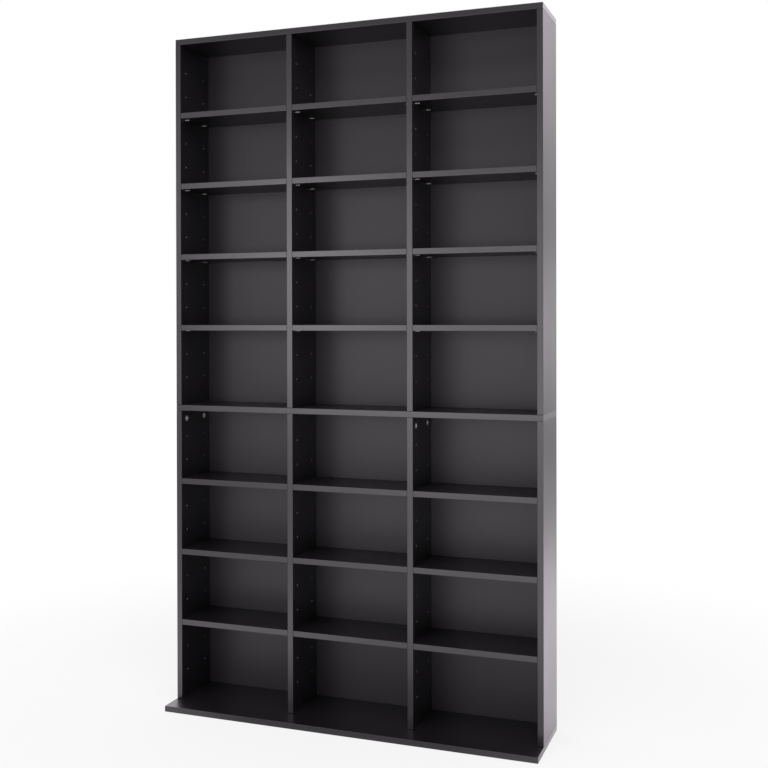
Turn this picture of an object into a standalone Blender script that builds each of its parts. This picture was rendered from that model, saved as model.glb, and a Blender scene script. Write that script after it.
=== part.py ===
# CD shelf: a tall, shallow, free-standing rack with three columns of open bays.
# Two sections stand one on the other, on a base board that juts out at the front.
# The shelves lie loose on half-round pins, so they pull forward off their seats.
# Metres, Z up, X across, and the open front faces -Y.
# The origin is the middle of the base board's underside.

from math import cos, pi, radians, sin

import bmesh
import bpy
from mathutils import Matrix, Vector

# Boards and bays
board = 0.015              # thickness of every board, upright and shelf
bay_width = 0.318          # clear width of one column
bay_names = ("left", "middle", "right")
lower_clear = 0.786        # clear height between base board and mid board
upper_clear = 0.978        # clear height between mid board and top board
carcass_depth = 0.158      # front edge to rear edge of the uprights
base_overhang = 0.063      # base board in front of the uprights
joint_gap = 0.0003         # gap between faces that meet

# Back panels, held in grooves of the uprights
back_thickness = 0.003
back_inset = 0.005         # rear edge of an upright to the panel's rear face
groove_depth = 0.005

# Shelves
shelf_rear_gap = 0.002     # shelf to back panel
shelf_side_gap = 0.0004    # shelf to upright, on each side

# Rows of system holes in the uprights
hole_bore = 0.005
hole_depth = 0.010         # blind holes in the outer uprights
hole_pitch = 0.064
first_hole = 0.072         # least distance from an upright's ends to a hole
row_inset = 0.028          # hole rows behind a shelf's front, and before its rear
holes_per_shelf = 3        # a shelf hangs on every third hole

# Shelf pins: a peg in the hole, and a half-round tongue under the shelf
tongue_length = 0.010
tongue_radius = 0.0035

# Confirmat screws through the boards into the uprights' ends
screw_shank = 0.0066
screw_head = 0.0096
screw_head_height = 0.004
screw_sink = 0.0005        # head below the board's face
screw_row_shift = 0.020    # screws lie this far inside the hole rows

# Cam locks in the lower uprights, and the bolts of the mid board that they hold
cam_bore = 0.015
cam_bore_depth = 0.0125
cam_distance = 0.024       # upright's end to the cam's axis
cam_clearance = 0.00025    # cam to bore, on the radius
cam_sink = 0.0002          # cam's face below the upright's face
cam_hollow = 0.0092        # bore inside the cam for the bolt's head
cam_throw = 0.0009         # hollow off the cam's axis, which draws the bolt in
cam_slot_play = 0.00045    # slot to bolt neck, and hollow to bolt head
cam_slot_past = 42.0       # degrees that the slot runs past the locked bolt
cam_turn = 180.0           # degrees from locked to released
recess_length = 0.0064
recess_width = 0.0014
recess_depth = 0.0018
bolt_head = 0.006
bolt_neck = 0.0032
bolt_shaft = 0.0066
bolt_bore = 0.008          # in the upright, from its end to the cam
bolt_thread = 0.0056
bolt_thread_length = 0.011

# Dowels that pass through the mid board into both sections
dowel_diameter = 0.008
dowel_seat = 0.012         # depth in each upright
dowel_chamfer = 0.001

# Modelling allowances
overrun = 0.001            # cutters past the face that they cut
embed = 0.001              # joined pieces sunk into their carrier
weld_distance = 0.000005
hole_sides = 6
pin_arc_steps = 4
screw_sides = 6
cam_sides = 16
hollow_sides = 10
slot_steps = 6
bolt_sides = 8
smooth_angle = radians(35.0)

# Sizes that follow
bay_count = len(bay_names)
bay_step = bay_width + board
overall_width = bay_count * bay_step + board
base_depth = carcass_depth + base_overhang
front = base_overhang - base_depth / 2
groove_rear = carcass_depth - back_inset + joint_gap
groove_front = groove_rear - back_thickness - 2 * joint_gap
back_front = groove_front + joint_gap
shelf_depth = back_front - shelf_rear_gap
shelf_width = bay_width - 2 * shelf_side_gap
hole_rows = (row_inset, shelf_depth - row_inset)
screw_rows = (hole_rows[0] + screw_row_shift, hole_rows[1] - screw_row_shift)
dowel_row = (hole_rows[0] + hole_rows[1]) / 2
lower_foot = board
mid_foot = lower_foot + lower_clear
upper_foot = mid_foot + board
top_foot = upper_foot + upper_clear
cam_radius = cam_bore / 2 - cam_clearance
cam_height = cam_bore_depth - cam_sink - joint_gap

# Each upright by its place, counted from the left, and the faces that look into a bay
uprights = (
    ("side_left", 0, (1,), 1),
    ("divider_left", 1, (-1, 1), -1),
    ("divider_right", 2, (-1, 1), 1),
    ("side_right", 3, (-1,), -1),
)


def clear_scene():
    for item in list(bpy.data.objects):
        bpy.data.objects.remove(item, do_unlink=True)


def new_collection(name):
    made = bpy.data.collections.new(name)
    bpy.context.scene.collection.children.link(made)
    return made


def new_material(name, colour, roughness, metallic):
    made = bpy.data.materials.new(name)
    made.use_nodes = True
    shader = made.node_tree.nodes["Principled BSDF"]
    shader.inputs["Base Color"].default_value = (*colour, 1.0)
    shader.inputs["Roughness"].default_value = roughness
    shader.inputs["Metallic"].default_value = metallic
    return made


# Meshes

def box_mesh(name, size):
    # A box with its lower corner at the origin.
    shape = bmesh.new()
    bmesh.ops.create_cube(shape, size=1.0)
    bmesh.ops.scale(shape, vec=size, verts=shape.verts)
    bmesh.ops.translate(shape, vec=Vector(size) / 2, verts=shape.verts)
    return finished_mesh(name, shape)


def finished_mesh(name, shape):
    mesh = bpy.data.meshes.new(name)
    shape.to_mesh(mesh)
    shape.free()
    return mesh


def evaluated_mesh(name, draft):
    # The mesh that a draft object's curve or modifiers make. The draft is removed.
    bpy.context.scene.collection.objects.link(draft)
    bpy.context.view_layer.update()
    depsgraph = bpy.context.evaluated_depsgraph_get()
    mesh = bpy.data.meshes.new_from_object(draft.evaluated_get(depsgraph))
    mesh.name = name
    bpy.data.objects.remove(draft, do_unlink=True)
    shape = bmesh.new()
    shape.from_mesh(mesh)
    bmesh.ops.remove_doubles(shape, verts=shape.verts, dist=weld_distance)
    shape.to_mesh(mesh)
    shape.free()
    return mesh


def prism_mesh(name, outline, height):
    # A closed outline in X and Y, drawn from Z = 0 up to a height.
    curve = bpy.data.curves.new(name, "CURVE")
    curve.dimensions = "2D"
    curve.fill_mode = "BOTH"
    curve.extrude = height / 2
    spline = curve.splines.new("POLY")
    spline.points.add(len(outline) - 1)
    for point, (x, y) in zip(spline.points, outline):
        point.co = (x, y, 0, 1)
    spline.use_cyclic_u = True
    mesh = evaluated_mesh(name, bpy.data.objects.new(name, curve))
    mesh.transform(Matrix.Translation((0, 0, height / 2)))
    return mesh


def turned_mesh(name, profile, sides):
    # A profile of (radius, height) points, from top to bottom, turned about Z.
    mesh = bpy.data.meshes.new(name)
    points = [(radius, 0, height) for radius, height in profile]
    edges = [(i, i + 1) for i in range(len(points) - 1)]
    mesh.from_pydata(points, edges, [])
    draft = bpy.data.objects.new(name, mesh)
    turning = draft.modifiers.new("turn", "SCREW")
    turning.axis = "Z"
    turning.steps = sides
    turning.render_steps = sides
    turning.use_merge_vertices = True
    turning.merge_threshold = weld_distance
    turned = evaluated_mesh(name, draft)
    turned.shade_smooth()
    turned.set_sharp_from_angle(angle=smooth_angle)
    return turned


def add_cylinder(shape, radius, length, matrix, sides):
    # A cylinder along local Z, from the matrix's origin.
    middle = Matrix.Translation((0, 0, length / 2))
    bmesh.ops.create_cone(shape, cap_ends=True, segments=sides, radius1=radius,
                          radius2=radius, depth=length, matrix=matrix @ middle)


def add_copy(shape, mesh, matrix):
    placed = mesh.copy()
    placed.transform(matrix)
    shape.from_mesh(placed)
    bpy.data.meshes.remove(placed)


def around(radius, sides):
    # Corner radius of a bore whose flats lie on the true radius.
    return radius / cos(pi / sides)


# Objects

def add_part(name, mesh, place, material, rotation=None):
    part = bpy.data.objects.new(name, mesh)
    if not mesh.materials:
        mesh.materials.append(material)
    part.location = place
    if rotation:
        part.rotation_euler = rotation.to_euler()
    part.parent = root
    parts.objects.link(part)
    return part


def add_tool(part, name, shape, operation):
    # A hidden mesh that is cut from a part, or joined to it.
    tool = bpy.data.objects.new(f"{name}_{part.name}", finished_mesh(name, shape))
    tool.location = part.location
    tool.hide_render = True
    tool.display_type = "WIRE"
    tools.objects.link(tool)
    modifier = part.modifiers.new(name, "BOOLEAN")
    modifier.operation = operation
    modifier.solver = "EXACT"
    modifier.object = tool


def bake(name, mesh, cutters):
    # The mesh with each cutter mesh taken away, for pieces that share one mesh.
    draft = bpy.data.objects.new(name, mesh)
    made = []
    for cutter in cutters:
        tool = bpy.data.objects.new(cutter.name, cutter)
        bpy.context.scene.collection.objects.link(tool)
        made.append(tool)
        modifier = draft.modifiers.new(cutter.name, "BOOLEAN")
        modifier.operation = "DIFFERENCE"
        modifier.solver = "EXACT"
        modifier.object = tool
    baked = evaluated_mesh(name, draft)
    for tool in made:
        bpy.data.objects.remove(tool, do_unlink=True)
    return baked


# Uprights

def hole_levels(clear_height):
    # Heights of the holes above the section's foot, from the top down.
    count = int((clear_height - 2 * first_hole) / hole_pitch) + 1
    return [clear_height - first_hole - i * hole_pitch for i in range(count)]


def is_shelf_level(index):
    return index % holes_per_shelf == holes_per_shelf - 1


def shelf_levels(clear_height):
    levels = hole_levels(clear_height)
    return [level for i, level in enumerate(levels) if is_shelf_level(i)]


def add_groove(shape, face, clear_height):
    # The groove runs the whole length of the upright and past both of its ends.
    floor = face * (board / 2 - groove_depth)
    mouth = face * (board / 2 + overrun)
    low = (min(floor, mouth), groove_front, -overrun)
    high = (max(floor, mouth), groove_rear, clear_height + overrun)
    size = Vector(high) - Vector(low)
    add_copy(shape, box_mesh("groove", size), Matrix.Translation(low))


def into_face(face, depth, row, height):
    # A frame whose Z runs out of one face, with its origin at a depth below it.
    turn = Matrix.Rotation(face * pi / 2, 4, "Y")
    return Matrix.Translation((face * (board / 2 - depth), row, height)) @ turn


def add_system_holes(shape, faces, clear_height):
    drilled_through = len(faces) > 1
    depth = board + overrun if drilled_through else hole_depth
    for index, level in enumerate(hole_levels(clear_height)):
        if is_shelf_level(index):
            continue
        for row in hole_rows:
            place = into_face(faces[-1], depth, row, level)
            add_cylinder(shape, around(hole_bore / 2, hole_sides), depth + overrun,
                         place, hole_sides)


def tongue_outline():
    steps = range(pin_arc_steps + 1)
    angles = [pi + pi * step / pin_arc_steps for step in steps]
    return [(tongue_radius * cos(a), tongue_radius * sin(a)) for a in angles]


def tongue_mesh():
    # The tongue's flat top lies on the hole's axis, and its length runs along X.
    mesh = prism_mesh("tongue", tongue_outline(), tongue_length + embed)
    mesh.transform(Matrix.Rotation(pi / 2, 4, "Z") @ Matrix.Rotation(pi / 2, 4, "X"))
    return mesh


def add_tongues(shape, faces, clear_height):
    for level in shelf_levels(clear_height):
        for row in hole_rows:
            for face in faces:
                turn = Matrix.Rotation(0 if face > 0 else pi, 4, "Z")
                place = Matrix.Translation((face * (board / 2 - embed), row, level))
                add_copy(shape, tongue, place @ turn)


def screw_mesh():
    # Above the upright's end: shank, cone and flat head.
    head_top = joint_gap + board - screw_sink
    profile = [(0, head_top), (screw_head / 2, head_top)]
    profile += [(screw_shank / 2, head_top - screw_head_height)]
    profile += [(screw_shank / 2, -embed), (0, -embed)]
    return turned_mesh("screw", profile, screw_sides)


def screw_hole_mesh():
    head_top = joint_gap + board - screw_sink
    mouth = joint_gap + board + overrun
    head = around(screw_head / 2 + joint_gap, screw_sides)
    shank = around(screw_shank / 2 + joint_gap, screw_sides)
    profile = [(0, mouth), (head, mouth), (head, head_top)]
    profile += [(shank, head_top - screw_head_height), (shank, -overrun), (0, -overrun)]
    return turned_mesh("screw_hole", profile, screw_sides)


def add_upright(name, place_index, section_foot, clear_height, faces, cam_face):
    # The upright stands between two boards, with a joint gap at each end.
    lower = section_foot == lower_foot
    length = clear_height - 2 * joint_gap
    mesh = box_mesh(name, (board, carcass_depth, length))
    mesh.transform(Matrix.Translation((-board / 2, 0, joint_gap)))
    x = upright_x(place_index)
    part = add_part(name, mesh, (x, front, section_foot), melamine)

    cuts = bmesh.new()
    add_system_holes(cuts, faces, clear_height)
    for face in faces:
        add_groove(cuts, face, clear_height)
    dowel_bore = around(dowel_diameter / 2 + joint_gap, bolt_sides)
    dowel_reach = dowel_seat + 2 * joint_gap
    if lower:
        for row in hole_rows:
            place = into_face(cam_face, cam_bore_depth, row, clear_height - cam_distance)
            add_cylinder(cuts, around(cam_bore / 2, cam_sides),
                         cam_bore_depth + overrun, place, cam_sides)
        add_upright_bolt_bores(part, clear_height)
        foot = Matrix.Translation((0, dowel_row, clear_height - dowel_reach))
        add_cylinder(cuts, dowel_bore, dowel_reach + overrun, foot, bolt_sides)
    else:
        foot = Matrix.Translation((0, dowel_row, -overrun))
        add_cylinder(cuts, dowel_bore, dowel_reach + overrun, foot, bolt_sides)
    add_tool(part, "bores", cuts, "DIFFERENCE")

    fittings = bmesh.new()
    add_tongues(fittings, faces, clear_height)
    down = Matrix.Rotation(pi, 4, "X")
    for row in screw_rows:
        add_copy(fittings, screw, Matrix.Translation((0, row, joint_gap)) @ down)
        if not lower:
            end = clear_height - joint_gap
            add_copy(fittings, screw, Matrix.Translation((0, row, end)))
    add_tool(part, "fittings", fittings, "UNION")


def add_upright_bolt_bores(part, clear_height):
    # Bores from the upper end down to the cams' axes.
    bores = bmesh.new()
    for row in hole_rows:
        foot = Matrix.Translation((0, row, clear_height - cam_distance))
        add_cylinder(bores, around(bolt_bore / 2, bolt_sides), cam_distance + overrun,
                     foot, bolt_sides)
    add_tool(part, "bolt_bores", bores, "DIFFERENCE")


def upright_x(place_index):
    return board / 2 - overall_width / 2 + place_index * bay_step


# Boards

def add_board(name, depth, foot, screws_up, mid=False):
    # A full-width board, level with the uprights' rear edges, with its screw holes.
    mesh = box_mesh(name, (overall_width, depth, board))
    place = (-overall_width / 2, front + carcass_depth - depth, foot)
    part = add_part(name, mesh, place, melamine)
    cuts = bmesh.new()
    flip = Matrix.Identity(4) if screws_up else Matrix.Rotation(pi, 4, "X")
    end = -joint_gap if screws_up else board + joint_gap
    setback = depth - carcass_depth
    for index in range(bay_count + 1):
        x = upright_x(index) + overall_width / 2
        for row in screw_rows:
            add_copy(cuts, screw_hole, Matrix.Translation((x, setback + row, end)) @ flip)
        if mid:
            add_mid_holes(cuts, x)
    add_tool(part, "screw_holes", cuts, "DIFFERENCE")


def add_mid_holes(shape, x):
    # Blind holes for the cam bolts, and a through hole for the dowel.
    for row in hole_rows:
        place = Matrix.Translation((x, row, -overrun))
        add_cylinder(shape, around(bolt_thread / 2 + joint_gap, bolt_sides),
                     overrun + bolt_thread_length + joint_gap, place, bolt_sides)
    place = Matrix.Translation((x, dowel_row, -overrun))
    add_cylinder(shape, around(dowel_diameter / 2 + joint_gap, bolt_sides),
                 board + 2 * overrun, place, bolt_sides)


# Back panels and shelves

def add_backs(section, foot, clear_height):
    reach = groove_depth - joint_gap
    size = (bay_width + 2 * reach, back_thickness, clear_height - 2 * joint_gap)
    mesh = box_mesh(f"back_{section}", size)
    for index, bay in enumerate(bay_names):
        x = bay_left(index) - reach
        place = (x, front + back_front, foot + joint_gap)
        add_part(f"back_{section}_{bay}", mesh, place, fibreboard)


def add_shelves(section, foot, clear_height):
    for index, bay in enumerate(bay_names):
        x = bay_left(index) + shelf_side_gap
        for number, level in enumerate(shelf_levels(clear_height), start=1):
            place = (x, front, foot + level + joint_gap)
            add_part(f"shelf_{section}_{bay}_{number}", shelf_mesh, place, melamine)


def bay_left(index):
    return upright_x(index) + board / 2


# Cam locks, bolts and dowels

def cam_mesh():
    # Z runs out of the upright's face, the origin is on that face, and +Y points at the bolt.
    # The locked cam's thick wall is behind the bolt's head, and its entry is opposite.
    blank = [(0, -cam_sink), (cam_radius, -cam_sink)]
    blank += [(cam_radius, -cam_sink - cam_height), (0, -cam_sink - cam_height)]
    body = turned_mesh("cam_blank", blank, cam_sides)

    axis_height = -board / 2
    hollow_top = axis_height + bolt_head / 2 + joint_gap
    hollow_length = hollow_top + cam_sink + cam_height + overrun
    hollow = bmesh.new()
    base = Matrix.Translation((0, -cam_throw, hollow_top - hollow_length))
    add_cylinder(hollow, cam_hollow / 2, hollow_length, base, hollow_sides)

    entry = bmesh.new()
    towards_entry = Matrix.Rotation(pi / 2, 4, "X")
    add_cylinder(entry, bolt_head / 2 + cam_slot_play, cam_radius + overrun,
                 Matrix.Translation((0, 0, axis_height)) @ towards_entry, bolt_sides)

    half_slot = bolt_neck / 2 + cam_slot_play
    inner = cam_hollow / 2 - cam_throw - overrun
    outer = cam_radius + overrun
    ring = [(inner, axis_height + half_slot), (outer, axis_height + half_slot)]
    ring += [(outer, axis_height - half_slot), (inner, axis_height - half_slot)]
    slot = turned_sector("cam_slot", ring, radians(cam_turn + cam_slot_past))
    slot.transform(Matrix.Rotation(-pi / 2, 4, "Z"))

    arm_size = (recess_length, recess_width, 2 * recess_depth)
    arm = box_mesh("cam_recess", arm_size)
    arm.transform(Matrix.Translation(-Vector(arm_size) / 2))
    arm.transform(Matrix.Translation((0, 0, -cam_sink)))
    second_arm = arm.copy()
    second_arm.transform(Matrix.Rotation(pi / 2, 4, "Z"))

    cutters = [finished_mesh("cam_hollow", hollow), finished_mesh("cam_entry", entry)]
    cutters += [slot, arm, second_arm]
    mesh = bake("cam_lock", body, cutters)
    mesh.shade_smooth()
    mesh.set_sharp_from_angle(angle=smooth_angle)
    return mesh


def turned_sector(name, ring, turn):
    # A closed section turned part of the way round, with its two ends filled.
    mesh = bpy.data.meshes.new(name)
    points = [(radius, 0, height) for radius, height in ring]
    edges = [(i, (i + 1) % len(points)) for i in range(len(points))]
    mesh.from_pydata(points, edges, [])
    draft = bpy.data.objects.new(name, mesh)
    turning = draft.modifiers.new("turn", "SCREW")
    turning.axis = "Z"
    turning.angle = turn
    turning.steps = slot_steps
    turning.render_steps = slot_steps
    turning.merge_threshold = weld_distance
    sector = evaluated_mesh(name, draft)
    shape = bmesh.new()
    shape.from_mesh(sector)
    bmesh.ops.holes_fill(shape, edges=shape.edges, sides=len(points))
    bmesh.ops.recalc_face_normals(shape, faces=shape.faces)
    shape.to_mesh(sector)
    shape.free()
    return sector


def bolt_mesh():
    # The head's centre is the origin, on the cam's axis, and the thread points up.
    head = bolt_head / 2
    edge_height = head * sin(pi / 4)
    neck_top = cam_radius + cam_slot_play
    shoulder = cam_distance - joint_gap
    tip = cam_distance + bolt_thread_length
    profile = [(0, tip), (bolt_thread / 2, tip)]
    profile += [(bolt_thread / 2, shoulder), (bolt_shaft / 2, shoulder)]
    profile += [(bolt_shaft / 2, neck_top), (bolt_neck / 2, neck_top)]
    profile += [(bolt_neck / 2, edge_height), (head * cos(pi / 4), edge_height), (head, 0)]
    profile += [(head * cos(pi / 4), -edge_height), (0, -head)]
    return turned_mesh("cam_bolt", profile, bolt_sides)


def dowel_mesh():
    # The foot's centre is the origin.
    radius = dowel_diameter / 2
    length = board + 2 * joint_gap + 2 * dowel_seat
    profile = [(0, length), (radius - dowel_chamfer, length), (radius, length - dowel_chamfer)]
    profile += [(radius, dowel_chamfer), (radius - dowel_chamfer, 0), (0, 0)]
    return turned_mesh("dowel", profile, bolt_sides)


def add_mid_fittings():
    cam = cam_mesh()
    bolt = bolt_mesh()
    dowel = dowel_mesh()
    axis_height = mid_foot - cam_distance
    for name, place_index, faces, cam_face in uprights:
        x = upright_x(place_index)
        for row, row_name in zip(hole_rows, ("front", "rear")):
            turn = Matrix.Rotation(cam_face * pi / 2, 4, "Z") @ Matrix.Rotation(pi / 2, 4, "X")
            add_part(f"cam_lock_{name}_{row_name}", cam,
                     (x + cam_face * board / 2, front + row, axis_height), zinc, turn)
            add_part(f"cam_bolt_{name}_{row_name}", bolt,
                     (x, front + row, axis_height), steel)
        foot = mid_foot - joint_gap - dowel_seat
        add_part(f"dowel_{name}", dowel, (x, front + dowel_row, foot), beech)


clear_scene()
parts = new_collection("cd_shelf")
tools = new_collection("cutters")
root = bpy.data.objects.new("cd_shelf_frame", None)
parts.objects.link(root)

melamine = new_material("black_melamine", (0.012, 0.012, 0.013), 0.38, 0.0)
fibreboard = new_material("black_fibreboard", (0.017, 0.017, 0.018), 0.5, 0.0)
zinc = new_material("cast_zinc", (0.55, 0.55, 0.56), 0.35, 1.0)
steel = new_material("plated_steel", (0.62, 0.6, 0.55), 0.3, 1.0)
beech = new_material("beech", (0.55, 0.38, 0.22), 0.65, 0.0)

tongue = tongue_mesh()
screw = screw_mesh()
screw_hole = screw_hole_mesh()
shelf_mesh = box_mesh("shelf", (shelf_width, shelf_depth, board))

add_board("base_board", base_depth, 0, screws_up=False)
add_board("mid_board", carcass_depth, mid_foot, screws_up=False, mid=True)
add_board("top_board", carcass_depth, top_foot, screws_up=True)
for upright_name, index, bay_faces, lock_face in uprights:
    add_upright(f"{upright_name}_lower", index, lower_foot, lower_clear, bay_faces, lock_face)
    add_upright(f"{upright_name}_upper", index, upper_foot, upper_clear, bay_faces, lock_face)
add_backs("lower", lower_foot, lower_clear)
add_backs("upper", upper_foot, upper_clear)
add_shelves("lower", lower_foot, lower_clear)
add_shelves("upper", upper_foot, upper_clear)
add_mid_fittings()
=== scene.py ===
from math import cos, pi, radians, sin, sqrt

import bmesh
import bpy
from mathutils import Matrix, Vector


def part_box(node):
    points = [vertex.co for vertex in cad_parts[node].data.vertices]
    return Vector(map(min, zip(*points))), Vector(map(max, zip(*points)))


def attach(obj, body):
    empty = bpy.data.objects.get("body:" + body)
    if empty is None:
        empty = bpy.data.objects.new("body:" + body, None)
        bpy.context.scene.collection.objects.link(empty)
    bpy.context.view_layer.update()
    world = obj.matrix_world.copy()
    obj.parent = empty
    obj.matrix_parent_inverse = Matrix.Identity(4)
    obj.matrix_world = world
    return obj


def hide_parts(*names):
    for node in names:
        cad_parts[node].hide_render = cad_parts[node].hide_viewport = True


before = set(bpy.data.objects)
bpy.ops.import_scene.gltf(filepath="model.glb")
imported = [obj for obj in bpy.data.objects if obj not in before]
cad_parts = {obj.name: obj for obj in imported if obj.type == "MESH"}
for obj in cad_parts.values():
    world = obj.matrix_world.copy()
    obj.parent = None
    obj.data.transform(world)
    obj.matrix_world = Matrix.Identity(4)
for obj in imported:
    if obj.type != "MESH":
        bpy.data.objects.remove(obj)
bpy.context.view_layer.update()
print("frame loaded:", len(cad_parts), "nodes")


# Nodes, for shaders and geometry alike

class Socket:
    # An output socket. A sum or comparison on it adds a Math node.
    def __init__(self, board, link):
        self.board, self.link = board, link

    def maths(self, operation, first, second):
        return self.board.add("ShaderNodeMath", {"operation": operation}, {0: first, 1: second})

    def __add__(self, other): return self.maths("ADD", self, other)
    def __radd__(self, other): return self.maths("ADD", other, self)
    def __sub__(self, other): return self.maths("SUBTRACT", self, other)
    def __rsub__(self, other): return self.maths("SUBTRACT", other, self)
    def __mul__(self, other): return self.maths("MULTIPLY", self, other)
    def __rmul__(self, other): return self.maths("MULTIPLY", other, self)
    def __truediv__(self, other): return self.maths("DIVIDE", self, other)
    def __rtruediv__(self, other): return self.maths("DIVIDE", other, self)
    def __mod__(self, other): return self.maths("FLOORED_MODULO", self, other)
    def __gt__(self, other): return self.maths("GREATER_THAN", self, other)
    def __lt__(self, other): return self.maths("LESS_THAN", self, other)
    def __abs__(self): return self.maths("ABSOLUTE", self, 0.0)


class NodeBoard:
    # A node tree with one way of adding a node.
    def __init__(self, tree):
        self.tree = tree

    def add(self, kind, settings=None, values=None, out=0):
        node = self.tree.nodes.new(kind)
        for key, value in (settings or {}).items():
            if key == "stops":
                self.setStops(node.color_ramp, value)
            else:
                setattr(node, key, value)
        for key, value in (values or {}).items():
            for item in value if isinstance(value, list) else [value]:
                if isinstance(item, Socket):
                    self.tree.links.new(item.link, node.inputs[key])
                else:
                    node.inputs[key].default_value = item
        return Socket(self, node.outputs[out])

    def setStops(self, ramp, stops):
        while len(ramp.elements) < len(stops):
            ramp.elements.new(1.0)
        for element, (position, colour) in zip(ramp.elements, stops):
            element.position = position
            element.color = (*colour, 1.0)

    def other(self, socket, out):
        return Socket(self, socket.link.node.outputs[out])

    def split(self, vector):                  # the three coordinates of a vector
        first = self.add("ShaderNodeSeparateXYZ", {}, {0: vector})
        return first, self.other(first, 1), self.other(first, 2)

    def blend(self, share, first, second):    # two colours, mixed by a share
        return self.add("ShaderNodeMix", {"data_type": "RGBA"},
                        {0: share, 6: colour4(first), 7: colour4(second)}, 2)

    def spread(self, share, low, high):       # a share from 0 to 1, laid between two values
        return self.add("ShaderNodeMapRange", {}, {"Value": share, "To Min": low, "To Max": high})

    def noise(self, place, scale, detail=2.0, roughness=0.5):
        return self.add("ShaderNodeTexNoise", {}, {"Vector": place, "Scale": scale,
                                                   "Detail": detail, "Roughness": roughness})

    def ramp(self, share, *stops):
        return self.add("ShaderNodeValToRGB", {"stops": stops}, {"Fac": share})

    def mask(self, share, low, high):         # black up to the low share, white from the high one
        return self.ramp(share, (low, (0.0, 0.0, 0.0)), (high, (1.0, 1.0, 1.0)))

    def stretch(self, place, scale):          # coordinates pulled out along an axis
        return self.add("ShaderNodeVectorMath", {"operation": "MULTIPLY"}, {0: place, 1: scale})


def colour4(value):
    return value if isinstance(value, Socket) else (*value, 1.0)


# Finishes

def newFinish(name, build, **fixed):
    # A material whose build function gives what varies. The fixed values go on the shader.
    made = bpy.data.materials.new(name)
    made.use_nodes = True
    shader = made.node_tree.nodes["Principled BSDF"]
    board = NodeBoard(made.node_tree)
    place = board.add("ShaderNodeTexCoord", out="Object")
    for label, value in fixed.items():
        shader.inputs[label.replace("_", " ")].default_value = value
    for label, socket in build(board, place).items():
        made.node_tree.links.new(socket.link, shader.inputs[label])
    return made


def bump(board, height, depth, strength=1.0):
    return board.add("ShaderNodeBump", {}, {"Height": height, "Distance": depth, "Strength": strength})


melamineLook = {
    "colour": (0.0075, 0.0064, 0.0078), "worn": (0.0125, 0.0110, 0.0128),
    "gloss": (0.30, 0.40),        # roughness, from the smoothest spots to the dullest
    "pearl": 900.0, "pearlDepth": 0.00003, "cloud": 5.0,
    "wipe": 22.0, "wipeStretch": (1.0, 1.0, 0.25), "wipeEdges": (0.55, 0.78),
}


def melamine(board, place):
    # Satin laminate: a fine pearl in the surface, soft clouds in the gloss, a few dull wipes.
    look = melamineLook
    pearl = board.noise(place, look["pearl"], detail=3.0, roughness=0.6)
    cloud = board.noise(place, look["cloud"], detail=3.0, roughness=0.55)
    wipes = board.noise(board.stretch(place, look["wipeStretch"]), look["wipe"], detail=4.0, roughness=0.65)
    dull = board.mask(wipes, *look["wipeEdges"])
    share = cloud * 0.7 + dull * 0.3
    return {
        "Base Color": board.blend(dull * 0.35 + cloud * 0.2, look["colour"], look["worn"]),
        "Roughness": board.spread(share + pearl * 0.15, *look["gloss"]),
        "Normal": bump(board, pearl, look["pearlDepth"]),
    }


bandLook = {
    "colour": (0.0120, 0.0107, 0.0123), "scuffed": (0.034, 0.031, 0.034),
    "gloss": (0.22, 0.30), "drawn": 700.0, "drawnDepth": 0.00002, "waver": 9.0,
    "nick": 260.0, "nickEdges": (0.66, 0.74),
    "along": {"X": (0.02, 1.0, 1.0), "Z": (1.0, 1.0, 0.02)},      # draws the lines out along the band
}


def edgeBand(run):
    # Plastic edge band: fine lines along its run, and small scuffs.
    def build(board, place):
        look = bandLook
        lines = board.stretch(place, look["along"][run])
        drawn = board.noise(lines, look["drawn"], detail=2.0, roughness=0.6)
        waver = board.noise(place, look["waver"], detail=2.0, roughness=0.5)
        scuffs = board.mask(board.noise(place, look["nick"], detail=3.0, roughness=0.7), *look["nickEdges"])
        return {
            "Base Color": board.blend(scuffs * waver, look["colour"], look["scuffed"]),
            "Roughness": board.spread(drawn * 0.5 + waver * 0.5, *look["gloss"]),
            "Normal": bump(board, drawn, look["drawnDepth"]),
        }
    return build


filmLook = {
    "colour": (0.0180, 0.0158, 0.0184), "pale": (0.0290, 0.0258, 0.0296),
    "gloss": (0.40, 0.48), "press": 420.0, "pressDepth": 0.00005, "cloud": 4.0,
}


def filmedFront(board, place):
    # Painted film on fibreboard: a softer press mark than on the boards.
    look = filmLook
    press = board.noise(place, look["press"], detail=4.0, roughness=0.55)
    cloud = board.noise(place, look["cloud"], detail=3.0, roughness=0.5)
    return {
        "Base Color": board.blend(cloud * 0.6, look["colour"], look["pale"]),
        "Roughness": board.spread(cloud * 0.7 + press * 0.3, *look["gloss"]),
        "Normal": bump(board, press, look["pressDepth"]),
    }


hardboardLook = {
    "dark": (0.085, 0.052, 0.030), "light": (0.150, 0.098, 0.058), "gloss": (0.72, 0.86),
    "weave": 130.0, "weaveDepth": 0.00018, "cloud": 9.0,
    "fibre": 300.0, "fibreStretch": (1.0, 1.0, 0.4), "fleckEdges": (0.42, 0.70),
}


def hardboardRear(board, place):
    # Unpainted rear of the fibreboard, with the print of the wire screen it was pressed on.
    look = hardboardLook
    across, along = (
        board.add("ShaderNodeTexWave", {"bands_direction": way}, {"Vector": place, "Scale": look["weave"]})
        for way in "XZ")
    fibre = board.noise(board.stretch(place, look["fibreStretch"]), look["fibre"], detail=5.0, roughness=0.7)
    cloud = board.noise(place, look["cloud"], detail=4.0, roughness=0.6)
    flecks = board.mask(fibre, *look["fleckEdges"])
    return {
        "Base Color": board.blend(flecks * 0.55 + cloud * 0.45, look["dark"], look["light"]),
        "Roughness": board.spread(cloud, *look["gloss"]),
        "Normal": bump(board, across * along, look["weaveDepth"], 0.6),
    }


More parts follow.
